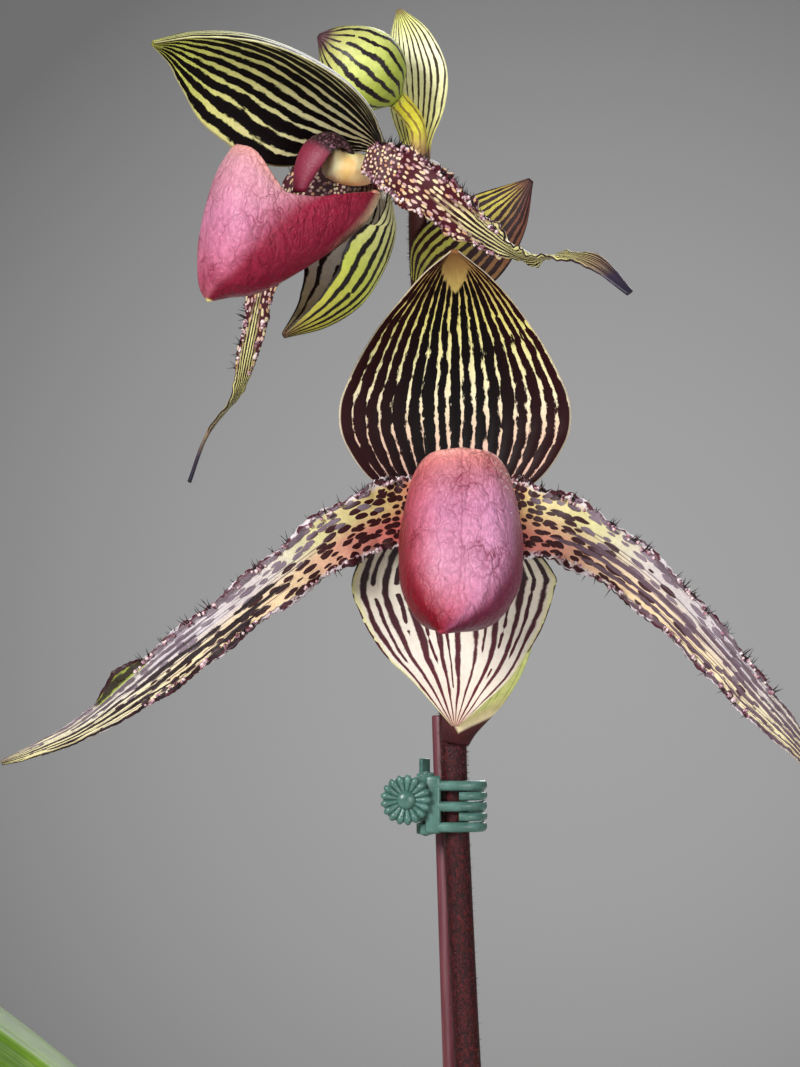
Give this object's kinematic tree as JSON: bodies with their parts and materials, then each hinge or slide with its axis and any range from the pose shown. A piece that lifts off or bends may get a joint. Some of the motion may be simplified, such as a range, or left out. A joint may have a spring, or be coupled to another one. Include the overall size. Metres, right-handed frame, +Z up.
{
  "type": "potted slipper orchid",
  "caption": "Slipper orchid in a plain clay pot: arching strap leaves, one staked and clipped stem with open pouched flowers and a bud.",
  "frame": {"origin": "centre of the pot's flat base", "axes": "+Z up the pot and stem; the front flower looks along -Y; +X to the right in the front view"},
  "size_m": [0.3891, 0.1547, 0.4806],
  "materials": {
    "terracotta": "matte",
    "bark": "matte",
    "crown": "satin",
    "leaf": "satin",
    "stem": "matte",
    "stake": "satin",
    "clip_plastic": "gloss",
    "spring_steel": "satin",
    "ovary": "matte",
    "sepal": "satin",
    "petal": "satin",
    "pouch": "satin",
    "column": "matte",
    "bract": "satin",
    "bud": "satin"
  },
  "bodies": {
    "plant": {"pot": "terracotta", "growing_medium": "bark", "leaf_base": "crown", "flower_stem": "stem", "stake": "stake", "clip_back_jaw": "clip_plastic", "clip_spring": "spring_steel", "bud_bract": "bract", "bud_ovary": "ovary", "bud": "bud", "leaf_1": "leaf", "leaf_2": "leaf", "leaf_3": "leaf", "leaf_4": "leaf", "leaf_5": "leaf", "leaf_6": "leaf", "leaf_7": "leaf", "leaf_8": "leaf", "front_flower_dorsal_sepal": "sepal", "front_flower_synsepal": "sepal", "front_flower_left_petal": "petal", "front_flower_right_petal": "petal", "front_flower_pouch": "pouch", "front_flower_column": "column", "front_flower_ovary": "ovary", "front_flower_bract": "bract", "side_flower_dorsal_sepal": "sepal", "side_flower_synsepal": "sepal", "side_flower_left_petal": "petal", "side_flower_right_petal": "petal", "side_flower_pouch": "pouch", "side_flower_column": "column", "side_flower_ovary": "ovary", "side_flower_bract": "bract"},
    "front_jaw": {"clip_front_jaw": "clip_plastic"}
  },
  "joints": [
    {"name": "clip_hinge", "type": "hinge", "parent": "plant", "child": "front_jaw", "pos_m": [-0.0092, 0.0006, 0.3072], "axis": [0, 0, -1], "range_deg": [0, 25], "stiffness_Nm_per_rad": 0.005, "springref_deg": -5.73}
  ]
}
